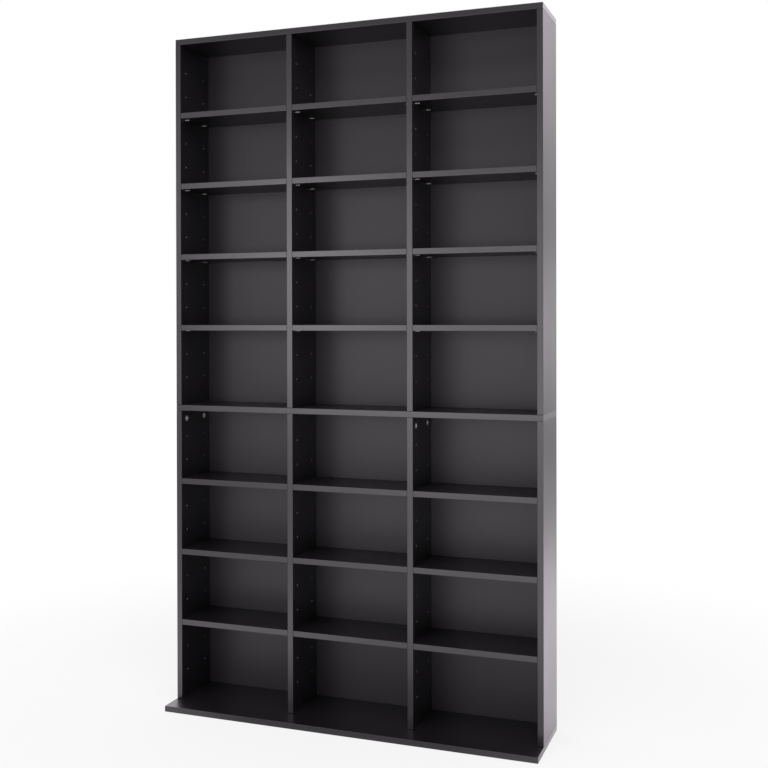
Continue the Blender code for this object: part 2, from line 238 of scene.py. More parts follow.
chipLook = {
    "glue": (0.100, 0.088, 0.078), "chip": (0.270, 0.245, 0.222), "gloss": (0.75, 0.92),
    "grain": 900.0, "pits": 1800.0, "depth": 0.0002,
}


def rawChipboard(board, place):
    # Cut chipboard: pale chips of several sizes in darker glue.
    look = chipLook
    cells = {"Vector": place, "Scale": look["grain"]}
    chips = board.add("ShaderNodeTexVoronoi", {"feature": "F1"}, cells, "Color")
    tone = board.add("ShaderNodeSeparateColor", {}, {0: chips})
    pits = board.noise(place, look["pits"], detail=3.0, roughness=0.7)
    return {
        "Base Color": board.blend(tone * 0.6 + pits * 0.4, look["glue"], look["chip"]),
        "Roughness": board.spread(pits, *look["gloss"]),
        "Normal": bump(board, pits + tone, look["depth"]),
    }


nickelLook = {
    "tone": (0.38, 0.37, 0.365), "stain": (0.26, 0.25, 0.245), "gloss": (0.44, 0.56),
    "grain": 1400.0, "depth": 0.00002, "spotEdges": (0.62, 0.74),
}
zincLook = {
    "tone": (0.90, 0.90, 0.90), "stain": (0.66, 0.66, 0.66), "gloss": (0.46, 0.60),
    "grain": 1900.0, "depth": 0.00006, "spotEdges": (0.62, 0.74),
}
steelLook = {
    "tone": (0.60, 0.58, 0.50), "stain": (0.42, 0.39, 0.30), "gloss": (0.26, 0.42),
    "grain": 1500.0, "depth": 0.00003, "spotEdges": (0.62, 0.74),
}


def metalSkin(look):
    # Plated or cast metal: a base tone, dull spots and a fine skin.
    def build(board, place):
        skin = board.noise(place, look["grain"], detail=3.0, roughness=0.6)
        cloud = board.noise(place, look["grain"] / 7, detail=3.0, roughness=0.6)
        dull = board.mask(cloud, *look["spotEdges"])
        return {
            "Base Color": board.blend(dull * 0.6 + skin * 0.25, look["tone"], look["stain"]),
            "Roughness": board.spread(skin * 0.5 + dull * 0.5, *look["gloss"]),
            "Normal": bump(board, skin, look["depth"]),
        }
    return build


woodLook = {
    "early": (0.60, 0.41, 0.24), "late": (0.40, 0.25, 0.13), "gloss": (0.55, 0.75),
    "rings": 900.0, "ringStretch": (1.0, 1.0, 0.08), "rayEdges": (0.45, 0.62), "depth": 0.0001,
}


def beechGrain(board, place):
    # Pale wood with short dark rays along the dowel.
    look = woodLook
    grain = board.noise(board.stretch(place, look["ringStretch"]), look["rings"], detail=4.0, roughness=0.6)
    return {
        "Base Color": board.blend(board.mask(grain, *look["rayEdges"]), look["early"], look["late"]),
        "Roughness": board.spread(grain, *look["gloss"]),
        "Normal": bump(board, grain, look["depth"]),
    }


finish = {
    "face": newFinish("melamineFace", melamine, IOR=1.65),
    "bandX": newFinish("edgeBandAcross", edgeBand("X"), IOR=1.73),
    "bandZ": newFinish("edgeBandUpright", edgeBand("Z"), IOR=1.73),
    "film": newFinish("filmedFront", filmedFront, IOR=1.56),
    "rear": newFinish("hardboardRear", hardboardRear, Specular_IOR_Level=0.3),
    "chip": newFinish("rawChipboard", rawChipboard, Specular_IOR_Level=0.2),
    "nickel": newFinish("nickelPlate", metalSkin(nickelLook), Metallic=1.0),
    "zinc": newFinish("castZinc", metalSkin(zincLook), Metallic=0.7),
    "steel": newFinish("zincedSteel", metalSkin(steelLook), Metallic=1.0),
    "beech": newFinish("beechDowel", beechGrain, Specular_IOR_Level=0.35),
}
print("finishes:", len(finish))


# Geometry trees

def newTree(name, inputs):
    tree = bpy.data.node_groups.new(name, "GeometryNodeTree")
    tree.interface.new_socket("Geometry", in_out="INPUT", socket_type="NodeSocketGeometry")
    tree.interface.new_socket("Geometry", in_out="OUTPUT", socket_type="NodeSocketGeometry")
    for label, kind in inputs.items():
        tree.interface.new_socket(label, in_out="INPUT", socket_type="NodeSocket" + kind)
    board = NodeBoard(tree)
    start = tree.nodes.new("NodeGroupInput")
    return board, {socket.name: Socket(board, socket) for socket in start.outputs if socket.name}


def endTree(board, geometry, *coats):
    # Realize Instances, then one Set Material for each (material, selection).
    shape = board.add("GeometryNodeRealizeInstances", {}, {0: geometry})
    for material, selection in coats:
        values = {"Geometry": shape, "Material": material}
        if selection is not None:
            values["Selection"] = selection
        shape = board.add("GeometryNodeSetMaterial", {}, values)
    board.tree.links.new(shape.link, board.tree.nodes.new("NodeGroupOutput").inputs[0])
    return board.tree


def named(board, name):
    return board.add("GeometryNodeInputNamedAttribute", {"data_type": "BOOLEAN"}, {"Name": name})


def mark(board, geometry, name, value):
    # Keeps a yes or no on each face.
    return board.add("GeometryNodeStoreNamedAttribute", {"data_type": "BOOLEAN", "domain": "FACE"},
                     {"Geometry": geometry, "Name": name, "Value": value})


def vector(board, x=0.0, y=0.0, z=0.0):
    return board.add("ShaderNodeCombineXYZ", {}, {0: x, 1: y, 2: z})


def vectorMaths(board, operation, first, second):
    return board.add("ShaderNodeVectorMath", {"operation": operation}, {0: first, 1: second})


def move(board, geometry, shift=(0.0, 0.0, 0.0), turn=(0.0, 0.0, 0.0)):
    values = {"Geometry": geometry, "Translation": shift, "Rotation": turn}
    return board.add("GeometryNodeTransform", {}, values)


def stepLine(board, count, step, start=(0.0, 0.0, 0.0)):
    # Points that follow each other at equal steps.
    return board.add("GeometryNodeMeshLine", {"mode": "OFFSET"},
                     {"Count": count, "Offset": step, "Start Location": start})


def lay(board, points, instance, aim=(0.0, 0.0, 0.0)):
    # A copy at every point, as real geometry.
    laid = board.add("GeometryNodeInstanceOnPoints", {},
                     {"Points": points, "Instance": instance, "Rotation": aim})
    return board.add("GeometryNodeRealizeInstances", {}, {0: laid})


def combine(board, operation, values):
    return board.add("GeometryNodeMeshBoolean", {"operation": operation, "solver": "EXACT"}, values)


def boardTree():
    # A board with eased edges. Its length runs up Z, its depth along Y, its thickness towards -X.
    board, given = newTree("easedBoard", {
        "Length": "Float", "Depth": "Float", "Thickness": "Float", "Ease": "Float", "Ease Steps": "Int",
        "Turn": "Vector", "Place": "Vector", "Face": "Material", "Band": "Material", "Ends": "Material"})
    length, depth, thick, ease = (given[key] for key in ("Length", "Depth", "Thickness", "Ease"))
    outline = board.add("GeometryNodeCurvePrimitiveQuadrilateral", {}, {"Width": thick, "Height": depth})
    outline = board.add("GeometryNodeFilletCurve", {"mode": "POLY"}, {
        "Curve": outline, "Count": given["Ease Steps"], "Radius": ease, "Limit Radius": True})
    path = board.add("GeometryNodeCurvePrimitiveLine", {}, {
        "Start": vector(board, z=ease), "End": vector(board, z=length - ease)})
    body = board.add("GeometryNodeCurveToMesh", {}, {
        "Curve": path, "Profile Curve": outline, "Fill Caps": True})
    upward = board.split(board.add("GeometryNodeInputNormal"))[2]
    capped = board.add("GeometryNodeExtrudeMesh", {"mode": "FACES"}, {
        "Mesh": body, "Selection": abs(upward) > 0.9, "Offset Scale": ease, "Individual": True})
    shrink = vector(board, 1.0 - 2.0 * ease / thick, 1.0 - 2.0 * ease / depth, 1.0)
    inward = vectorMaths(board, "MULTIPLY", board.add("GeometryNodeInputPosition"), shrink)
    body = board.add("GeometryNodeSetPosition", {},
                     {"Geometry": capped, "Selection": board.other(capped, "Top"), "Position": inward})
    across, high = board.split(board.add("GeometryNodeInputPosition"))[1:]
    body = mark(board, body, "banded", abs(across) > depth / 2.0 - ease)
    body = mark(board, body, "atEnd", abs(high - length / 2.0) > length / 2.0 - ease / 4.0)
    body = move(board, body, vector(board, thick * -0.5, depth * 0.5, 0.0))
    body = move(board, body, given["Place"], given["Turn"])
    return endTree(board, body, (given["Face"], None), (given["Band"], named(board, "banded")),
                   (given["Ends"], named(board, "atEnd")))


def rowPoints(board, given):
    # A line of points, repeated in rows. Every spared point is left out, or is all that is left.
    line = stepLine(board, given["Count"], given["Step"])
    order = board.add("GeometryNodeInputIndex") % given["Spare Every"]
    isSpared = order > given["Spare Every"] - 1.5
    line = board.add("GeometryNodeDeleteGeometry", {"domain": "POINT"},
                     {"Geometry": line, "Selection": abs(isSpared - given["Spared Only"]) > 0.5})
    return lay(board, stepLine(board, given["Rows"], given["Row Step"], given["First"]), line)


rowInputs = {"First": "Vector", "Step": "Vector", "Count": "Int", "Row Step": "Vector", "Rows": "Int",
             "Spare Every": "Int", "Spared Only": "Float", "Aim": "Vector"}


def drillTree():
    # Rows of round bores, cut from the geometry, with their walls in the raw material. A rim is a wider
    # shallow bore at the mouth, and a second rim lies at the far mouth of a bore that goes through.
    board, given = newTree("drilledRows", {
        **rowInputs, "Bore": "Float", "Reach": "Float", "Sides": "Int", "Rim": "Float",
        "Rim Reach": "Float", "Rims": "Int", "Rim Step": "Vector", "Wall": "Material"})

    def cylinder(radius, reach):
        values = {"Vertices": given["Sides"], "Radius": radius, "Depth": reach * 2.0}
        return board.add("GeometryNodeMeshCylinder", {}, values)
    bit = cylinder(given["Bore"], given["Reach"])
    mouths = stepLine(board, given["Rims"], given["Rim Step"])
    rims = lay(board, mouths, cylinder(given["Rim"], given["Rim Reach"]))
    stepped = combine(board, "UNION", {"Mesh 2": [bit, rims]})
    bit = board.add("GeometryNodeSwitch", {"input_type": "GEOMETRY"},
                    {"Switch": given["Rims"] > 0.5, "False": bit, "True": stepped})
    bits = lay(board, rowPoints(board, given), mark(board, bit, "bored", True), given["Aim"])
    cut = combine(board, "DIFFERENCE", {"Mesh 1": given["Geometry"], "Mesh 2": bits})
    return endTree(board, cut, (given["Wall"], named(board, "bored")))


def grooveTree():
    # A straight groove through the whole length, in the faces that it straddles.
    board, given = newTree("longGroove", {"Middle": "Vector", "Size": "Vector", "Wall": "Material"})
    cutter = board.add("GeometryNodeMeshCube", {}, {"Size": given["Size"]})
    cutter = mark(board, move(board, cutter, given["Middle"]), "grooved", True)
    cut = combine(board, "DIFFERENCE", {"Mesh 1": given["Geometry"], "Mesh 2": cutter})
    return endTree(board, cut, (given["Wall"], named(board, "grooved")))


def fitTree():
    # One small part set at every point of the rows, added to what is there.
    board, given = newTree("fittedRows", {**rowInputs, "Part": "Object", "Finish": "Material"})
    part = board.add("GeometryNodeObjectInfo", {}, {"Object": given["Part"]}, "Geometry")
    laid = lay(board, rowPoints(board, given), part, given["Aim"])
    together = board.add("GeometryNodeJoinGeometry", {}, {0: [given["Geometry"], laid]})
    return endTree(board, together, (given["Finish"], None))


def panelTree():
    # A thin panel that bows a little between its grooves.
    board, given = newTree("bowedPanel", {
        "Size": "Vector", "Bow": "Float", "Place": "Vector", "Columns": "Int", "Rows": "Int",
        "Front": "Material", "Rear": "Material"})
    sheet = board.add("GeometryNodeMeshCube", {}, {
        "Size": given["Size"], "Vertices X": given["Columns"], "Vertices Y": 2, "Vertices Z": given["Rows"]})
    spot = board.add("GeometryNodeInputPosition")
    shares = board.split(vectorMaths(board, "DIVIDE", spot, given["Size"]))
    across, upward = (board.add("ShaderNodeMath", {"operation": "COSINE"}, {0: shares[axis] * pi})
                      for axis in (0, 2))
    bowed = board.add("GeometryNodeSetPosition", {},
                      {"Geometry": sheet, "Offset": vector(board, y=across * upward * given["Bow"])})
    backward = board.split(board.add("GeometryNodeInputNormal"))[1]
    bowed = mark(board, bowed, "rearFace", backward > 0.5)
    return endTree(board, move(board, bowed, given["Place"]), (given["Front"], None),
                   (given["Rear"], named(board, "rearFace")))


trees = {"board": boardTree(), "drill": drillTree(), "groove": grooveTree(), "fit": fitTree(),
         "panel": panelTree()}
print("geometry trees:", len(trees))


# Pieces

def newPiece(name, mesh=None):
    piece = bpy.data.objects.new(name, mesh or bpy.data.meshes.new(name))
    bpy.context.scene.collection.objects.link(piece)
    return piece


def addTree(piece, tree, values):
    modifier = piece.modifiers.new(tree.name, "NODES")
    modifier.node_group = tree
    for item in tree.interface.items_tree:
        if item.in_out == "INPUT" and item.name in values:
            modifier[item.identifier] = values[item.name]


def softened(mesh, angle=40.0):
    mesh.shade_smooth()
    mesh.set_sharp_from_angle(angle=radians(angle))
    return mesh


def settle(piece, angle=30.0, flatFrom=0.001):
    # The evaluated result as a plain mesh, with only the materials that it uses. Its large faces stay flat.
    bpy.context.view_layer.update()
    graph = bpy.context.evaluated_depsgraph_get()
    mesh = bpy.data.meshes.new_from_object(piece.evaluated_get(graph), preserve_all_data_layers=True,
                                           depsgraph=graph)
    piece.modifiers.clear()
    piece.data = mesh
    indices = [face.material_index for face in mesh.polygons]
    used = sorted(set(indices))
    kept = [mesh.materials[index] for index in used]
    mesh.materials.clear()
    for material in kept:
        mesh.materials.append(material)
    softened(mesh, angle)
    for face, index in zip(mesh.polygons, indices):
        face.material_index = used.index(index)
        face.use_smooth = face.area < flatFrom
    return piece


def hand(piece, body, slot, *nodes):
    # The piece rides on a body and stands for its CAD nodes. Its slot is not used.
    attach(piece, body)
    if nodes:
        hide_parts(*nodes)
    return piece


carcass = {
    "board": 0.015, "bay": 0.318, "front": -0.0475, "depth": 0.158, "gap": 0.0003,
    "lowerClear": 0.786, "upperClear": 0.978, "rowInset": 0.028, "shelfDepth": 0.148,
    "holePitch": 0.064, "firstHole": 0.072, "spareEvery": 3, "holeBore": 0.0025, "holeReach": 0.010,
    "rimBore": 0.0028, "rimReach": 0.0003,       # the drill tears the laminate a little round each hole
    "screwInset": 0.020,                         # from a hole row to the screws beside it
    "ease": 0.0005, "easeSteps": 3, "holeSides": 20,
}
holeRows = (carcass["rowInset"], carcass["shelfDepth"] - carcass["rowInset"])
screwRows = (holeRows[0] + carcass["screwInset"], holeRows[1] - carcass["screwInset"])
rowGap = (0.0, holeRows[1] - holeRows[0], 0.0)
screwGap = (0.0, screwRows[1] - screwRows[0], 0.0)
bayStep = carcass["bay"] + carcass["board"]
acrossStep = (bayStep, 0.0, 0.0)
noStep = (0.0, 0.0, 0.0)
uprightX = [bayStep * (index - 1.5) for index in range(4)]       # middles of the four uprights
lowerFoot = carcass["board"]
midFoot = lowerFoot + carcass["lowerClear"]
upperFoot = midFoot + carcass["board"]
topFoot = upperFoot + carcass["upperClear"]
sections = {"lower": (lowerFoot, carcass["lowerClear"]), "upper": (upperFoot, carcass["upperClear"])}
uprights = (       # name, index, faces that look into a bay, face that holds the cam locks
    ("side_left", 0, (1,), 1), ("divider_left", 1, (-1, 1), -1),
    ("divider_right", 2, (-1, 1), 1), ("side_right", 3, (-1,), -1),
)
lieDown = (0.0, pi / 2, 0.0)          # a board's length turned from Z to X
intoFace = (0.0, pi / 2, 0.0)         # a bore along X
upright = (0.0, 0.0, 0.0)             # no turn


def holeCount(clear):
    return int((clear - 2 * carcass["firstHole"]) / carcass["holePitch"]) + 1


def rows(first, step, count, rowStep=noStep, rowCount=1, aim=upright, every=1000, sparedOnly=0.0):
    # No line has a thousand points, so by default none is spared.
    return {"First": first, "Step": step, "Count": count, "Row Step": rowStep, "Rows": rowCount, "Aim": aim,
            "Spare Every": every, "Spared Only": sparedOnly}


def holesOf(index, face, foot, clear, **more):
    # An upright's two hole rows, from the highest hole down.
    first = (uprightX[index] + face * carcass["board"] / 2, carcass["front"] + holeRows[0],
             foot + clear - carcass["firstHole"])
    return rows(first, (0.0, 0.0, -carcass["holePitch"]), holeCount(clear), rowGap, 2, **more)


def newBoard(name, size, place, turn, band="bandX", ends="bandX"):
    # Size is length, depth and thickness.
    piece = newPiece(name)
    addTree(piece, trees["board"], {
        "Length": size[0], "Depth": size[1], "Thickness": size[2], "Ease": carcass["ease"],
        "Ease Steps": carcass["easeSteps"], "Turn": turn, "Place": place, "Face": finish["face"],
        "Band": finish[band], "Ends": finish[ends]})
    return piece


def drill(piece, rowValues, bore, reach, sides=None, rims=0, through=0.0):
    addTree(piece, trees["drill"], {
        **rowValues, "Bore": bore, "Reach": reach, "Sides": sides or carcass["holeSides"], "Rims": rims,
        "Rim": carcass["rimBore"], "Rim Reach": carcass["rimReach"], "Rim Step": (0.0, 0.0, through),
        "Wall": finish["chip"]})


# Full-width boards

boardLook = {"screwHead": 0.0049, "screwSink": 0.0026, "screwBore": 0.0035, "boltBore": 0.0029,
             "boltReach": 0.0113, "dowelBore": 0.0043}
for name in ("base_board", "mid_board", "top_board"):
    low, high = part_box(name)
    width, depth, thick = high - low
    piece = newBoard(f"board.{name.split('_')[0]}", (width, depth, thick), (low.x, low.y, low.z), lieDown)
    columns, outside = len(uprightX), low.z if name == "base_board" else high.z
    screwFirst = (uprightX[0], carcass["front"] + screwRows[0], outside)
    screwHoles = rows(screwFirst, acrossStep, columns, screwGap, 2)
    drill(piece, screwHoles, boardLook["screwBore"], 2 * thick)
    drill(piece, screwHoles, boardLook["screwHead"], boardLook["screwSink"])
    if name == "mid_board":
        boltFirst = (uprightX[0], carcass["front"] + holeRows[0], low.z)
        dowelFirst = (uprightX[0], carcass["front"] + sum(holeRows) / 2, low.z)
        boltHoles = rows(boltFirst, acrossStep, columns, rowGap, 2)
        drill(piece, boltHoles, boardLook["boltBore"], boardLook["boltReach"])
        drill(piece, rows(dowelFirst, acrossStep, columns), boardLook["dowelBore"], 2 * thick)
    hand(settle(piece), "carcass", "black_melamine", name)
print("full-width boards: 3")


# Uprights, with their hole rows, grooves and bores

uprightLook = {"camBore": 0.0075, "camReach": 0.0125, "camDrop": 0.024, "camSides": 40, "boltBore": 0.004,
               "dowelBore": 0.0043, "dowelReach": 0.0126, "grooveDepth": 0.005,
               "grooveFront": 0.1497, "grooveRear": 0.1533}
grooveMiddle = (uprightLook["grooveFront"] + uprightLook["grooveRear"]) / 2
grooveWidth = uprightLook["grooveRear"] - uprightLook["grooveFront"]
for name, index, faces, camFace in uprights:
    for section, (foot, clear) in sections.items():
        x, front, thick = uprightX[index], carcass["front"], carcass["board"]
        size = (clear - 2 * carcass["gap"], carcass["depth"], thick)
        corner = (x + thick / 2, front, foot + carcass["gap"])
        piece = newBoard(f"upright.{name}.{section}", size, corner, upright, band="bandZ", ends="chip")
        reach = 2 * thick if len(faces) > 1 else carcass["holeReach"]
        holes = holesOf(index, faces[-1], foot, clear, aim=intoFace)
        drill(piece, holes, carcass["holeBore"], reach, rims=len(faces), through=-thick)
        for face in faces:
            addTree(piece, trees["groove"], {
                "Middle": (x + face * thick / 2, front + grooveMiddle, foot + clear / 2),
                "Size": (2 * uprightLook["grooveDepth"], grooveWidth, clear + thick),
                "Wall": finish["chip"]})
        dowelEnd = (x, front + sum(holeRows) / 2, foot + clear if section == "lower" else foot)
        drill(piece, rows(dowelEnd, noStep, 1), uprightLook["dowelBore"], uprightLook["dowelReach"])
        if section == "lower":
            camFirst = (x + camFace * thick / 2, front + holeRows[0], foot + clear - uprightLook["camDrop"])
            drill(piece, rows(camFirst, rowGap, 2, aim=intoFace), uprightLook["camBore"],
                  uprightLook["camReach"], uprightLook["camSides"])
            boltFirst = (x, front + holeRows[0], foot + clear)
            drill(piece, rows(boltFirst, rowGap, 2), uprightLook["boltBore"], uprightLook["camDrop"])
        hand(settle(piece), "carcass", "black_melamine", f"{name}_{section}")
print("uprights: 8")


# Shelves, each on its own body

shelfNodes = sorted(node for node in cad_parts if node.startswith("shelf_"))
for name in shelfNodes:
    low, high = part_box(name)
    width, depth, thick = high - low
    piece = newBoard(name.replace("_", "."), (width, depth, thick), (low.x, low.y, low.z), lieDown)
    hand(settle(piece), name, "black_melamine", name)
print("shelves:", len(shelfNodes))


# Back panels

# The tuck closes the joint above and below a panel.
panelLook = {"bow": -0.0006, "columns": 17, "rows": 33, "tuck": 0.0004}
backNodes = sorted(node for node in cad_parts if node.startswith("back_"))
for name in backNodes:
    low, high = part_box(name)
    size = high - low + Vector((0.0, 0.0, 2 * panelLook["tuck"]))
    piece = newPiece(name.replace("_", "."))
    addTree(piece, trees["panel"], {
        "Size": tuple(size), "Place": tuple((low + high) / 2), "Bow": panelLook["bow"],
        "Columns": panelLook["columns"], "Rows": panelLook["rows"],
        "Front": finish["film"], "Rear": finish["rear"]})
    hand(settle(piece), "carcass", "black_fibreboard", name)
print("back panels:", len(backNodes))


# Small parts that are set many times

def ringMesh(name, rings):
    # Rings of equal length, joined to a closed skin.
    shape = bmesh.new()
    rounds = [[shape.verts.new(point) for point in ring] for ring in rings]
    for low, high in zip(rounds, rounds[1:]):
        count = len(low)
        for step in range(count):
            after = (step + 1) % count
            shape.faces.new((low[step], low[after], high[after], high[step]))
    shape.faces.new(reversed(rounds[0]))
    shape.faces.new(rounds[-1])
    bmesh.ops.remove_doubles(shape, verts=shape.verts, dist=0.000002)
    bmesh.ops.recalc_face_normals(shape, faces=shape.faces)
    mesh = bpy.data.meshes.new(name)
    shape.to_mesh(mesh)
    shape.free()
    return mesh


def ringOf(radii, height):
    # A ring with a radius of its own at each step.
    turns = [2 * pi * step / len(radii) for step in range(len(radii))]
    return [(radius * cos(turn), radius * sin(turn), height) for radius, turn in zip(radii, turns)]


def circles(sides, *profile):
    # Round rings, from pairs of radius and height.
    return [ringOf([radius] * sides, height) for radius, height in profile]


pinLook = {
    "peg": 0.0024, "pegLength": 0.0085, "pegSides": 10, "pegTip": 0.8, "pegChamfer": 0.0006,
    "spoon": 0.0033, "spoonLength": 0.012, "flatShare": 0.66, "tipShares": (0.4, 0.7, 0.88, 0.97), "arc": 10,
    "collar": 0.0036, "collarThick": 0.0005, "collarSunk": 0.0002, "collarSlope": 0.0004,
    "clearance": 0.00005,          # between the flat top and the shelf's underside
}


def pinMesh():
    # The peg lies along -X in its hole. The spoon's flat top faces up at the peg's middle.
    look = pinLook
    arc = [pi + pi * step / look["arc"] for step in range(look["arc"] + 1)]

    def half(x, radius):
        depth = radius * look["flatShare"]
        return [(x, radius * cos(angle), min(-look["clearance"], depth * sin(angle))) for angle in arc]
    collar, wide, thick = look["collar"], look["spoon"], look["collarThick"]
    straight = look["spoonLength"] - wide
    stations = [(-look["collarSunk"], collar), (thick, collar), (thick + look["collarSlope"], wide),
                (straight, wide)]
    for share in look["tipShares"]:
        stations.append((straight + wide * share, wide * sqrt(1 - share * share)))
    spoon = ringMesh("spoon", [half(*station) for station in stations])
    peg = ringMesh("peg", circles(look["pegSides"], (look["peg"] * look["pegTip"], 0.0),
                                  (look["peg"], look["pegChamfer"]), (look["peg"], look["pegLength"])))
    peg.transform(Matrix.Translation((-look["pegLength"], 0, 0)) @ Matrix.Rotation(pi / 2, 4, "Y"))
    shape = bmesh.new()
    shape.from_mesh(spoon)
    shape.from_mesh(peg)
    shape.to_mesh(spoon)
    shape.free()
    return softened(spoon)


screwLook = {
    "sides": 24, "sink": 0.0006,
    "hexagon": 0.0021, "recess": 0.0024, "recessTaper": 0.9, "recessEdge": 0.0002,
    # Pairs of radius and depth below the head's face
    "head": ((0.0042, 0.0), (0.0046, 0.0003), (0.0046, 0.0008), (0.0032, 0.0034), (0.0032, 0.0144)),
    "threadStart": 0.0155, "threadStep": 0.001, "threadRings": 29, "pitch": 0.0046,
    "core": 0.0024, "rib": 0.0010, "ribNarrow": 3.0, "tip": (0.0012, -0.0455),
}


def hexagonRing(size, height, sides):
    # A hexagon with as many points as the round rings that it joins.
    turns = [2 * pi * step / sides for step in range(sides)]
    return ringOf([size / cos((turn % (pi / 3)) - pi / 6) for turn in turns], height)


def threadRings(look, heights, way):
    # One ring for each height. Its widest point goes round as the height goes on.
    sides = look["sides"]
    for height in heights:
        phases = [(height / look["pitch"] + way * side / sides) % 1.0 for side in range(sides)]
        yield ringOf([look["core"] + look["rib"] * max(0.0, 1 - look["ribNarrow"] * abs(phase - 0.5))
                      for phase in phases], height)


def screwMesh():
    # The head's face is sunk a little below the origin, and the shank runs down.
    look = screwLook
    sides, size, top, edge = look["sides"], look["hexagon"], -look["sink"], look["recessEdge"]
    rings = [hexagonRing(size * look["recessTaper"], top - look["recess"], sides),
             hexagonRing(size, top - edge, sides), hexagonRing(size + edge, top, sides)]
    rings += circles(sides, *((radius, top - depth) for radius, depth in look["head"]))
    heights = [-look["threadStart"] - step * look["threadStep"] for step in range(look["threadRings"])]
    rings += [*threadRings(look, heights, 1), *circles(sides, look["tip"])]
    return softened(ringMesh("confirmat", rings), 50.0)


templates = {"pin": newPiece("pinTemplate", pinMesh()), "screw": newPiece("screwTemplate", screwMesh())}

pins = newPiece("shelfPins")
for name, index, faces, camFace in uprights:
    for foot, clear in sections.values():
        for face in faces:
            seats = holesOf(index, face, foot, clear, aim=(0.0, 0.0, 0.0 if face > 0 else pi),
                            every=carcass["spareEvery"], sparedOnly=1.0)
            addTree(pins, trees["fit"], {**seats, "Part": templates["pin"], "Finish": finish["nickel"]})
hand(settle(pins, 40.0), "carcass", "plated_steel")

screws = newPiece("confirmatScrews")
for outside, aim in ((0.0, (pi, 0.0, 0.0)), (upperFoot, upright), (topFoot + carcass["board"], upright)):
    first = (uprightX[0], carcass["front"] + screwRows[0], outside)
    seats = rows(first, acrossStep, len(uprightX), screwGap, 2, aim)
    addTree(screws, trees["fit"], {**seats, "Part": templates["screw"], "Finish": finish["steel"]})
hand(settle(screws, 50.0), "carcass", "plated_steel")
for template in templates.values():
    bpy.data.objects.remove(template, do_unlink=True)
print("pins and screws set")


# Cam locks, their bolts, and the dowels

camLook = {
    "radius": 0.00725, "height": 0.012, "sink": 0.0002, "chamfer": 0.0004, "sides": 48,
    "rim": 0.0011, "dish": 0.0002,                     # the face lies lower inside its rim
    "hollow": 0.0046, "hollowTop": 0.0036, "hollowFoot": -0.02, "hollowSides": 32, "throw": 0.0009,
    "entry": 0.00345, "entryReach": 0.012, "entrySides": 24,
    "slot": 0.0041, "slotPast": 42.0, "slotSteps": 24, "slotInset": 0.002,
    "arm": 0.0034, "armWide": 0.0008, "armDeep": 0.0022, "armTaper": 0.55,
    "arrow": (0.0012, 0.0042, 0.0057), "arrowDeep": 0.0008,      # half its width, its foot and its point
    "overrun": 0.001,                                  # how far a cutter stands out of the lock
}


def camCutters():
    # The room for the bolt's head, its way in and out, and the cross recess and arrow on the face.
    look = camLook
    top, overrun, axis = -look["sink"], look["overrun"], -carcass["board"] / 2
    hollow = ringMesh("hollow", circles(look["hollowSides"], (look["hollow"], look["hollowFoot"]),
                                        (look["hollow"], axis + look["hollowTop"])))
    hollow.transform(Matrix.Translation((0, -look["throw"], 0)))
    entry = ringMesh("entry", circles(look["entrySides"], (look["entry"], 0.0),
                                      (look["entry"], look["entryReach"])))
    entry.transform(Matrix.Translation((0, 0, axis)) @ Matrix.Rotation(pi / 2, 4, "X"))
    half, steps = look["slot"] / 2, look["slotSteps"]
    near, far = look["hollow"] - look["slotInset"], look["radius"] + overrun
    outline = [(near, axis + half), (far, axis + half), (far, axis - half), (near, axis - half)]
    angles = [radians(180.0 + look["slotPast"]) * step / steps - pi / 2 for step in range(steps + 1)]
    slot = ringMesh("slot", [[(r * cos(angle), r * sin(angle), z) for r, z in outline] for angle in angles])
    arms = []
    for angle in (0.0, pi / 2):
        tip, wide = look["arm"], look["armWide"]
        arm = ringMesh("arm", [
            [(x * tip * share, y * wide * share, z) for x, y in ((-1, -1), (1, -1), (1, 1), (-1, 1))]
            for share, z in ((look["armTaper"], top - look["armDeep"]), (1.0, overrun))])
        arm.transform(Matrix.Rotation(angle, 4, "Z"))
        arms.append(arm)
    wide, foot, point = look["arrow"]
    arrow = ringMesh("arrow", [[(-wide, foot, z), (wide, foot, z), (0.0, point, z)]
                               for z in (-look["arrowDeep"], overrun)])
    return [hollow, entry, slot, *arms, arrow]


def camMesh():
    # Z runs out of the upright's face, the origin is on that face, and +Y points at the bolt.
    look = camLook
    radius, top, inside = look["radius"], -look["sink"], look["radius"] - look["rim"]
    body = ringMesh("cam", circles(
        look["sides"], (radius, top - look["height"]), (radius, top - look["chamfer"]),
        (radius - look["chamfer"], top), (inside, top), (inside - look["dish"], top - look["dish"])))
    joined = bmesh.new()
    for mesh in camCutters():
        joined.from_mesh(mesh)
        bpy.data.meshes.remove(mesh)
    tool = newPiece("camCutters")
    joined.to_mesh(tool.data)
    joined.free()
    draft = newPiece("camDraft", body)
    cut = draft.modifiers.new("cut", "BOOLEAN")
    cut.operation, cut.solver, cut.object, cut.use_self = "DIFFERENCE", "EXACT", tool, True
    draft.data.materials.append(finish["zinc"])
    mesh = settle(draft, 35.0).data
    for item in (tool, draft):
        bpy.data.objects.remove(item, do_unlink=True)
    return mesh


boltLook = {
    "sides": 20, "head": 0.0030, "headTurns": (-89, -60, -30, 0, 30, 50),
    # Pairs of radius and height: the neck, the collar, a groove, the shaft and the thread's foot
    "shaft": ((0.0016, 0.0026), (0.0016, 0.0076), (0.0033, 0.0078), (0.0033, 0.0112), (0.00297, 0.0114),
              (0.00297, 0.0120), (0.0033, 0.0122), (0.0033, 0.0234), (0.0021, 0.0236)),
    "threadStart": 0.0240, "threadStep": 0.00045, "threadRings": 24, "pitch": 0.0018,
    "core": 0.0021, "rib": 0.0007, "ribNarrow": 2.4, "tip": (0.00105, 0.0349),
}


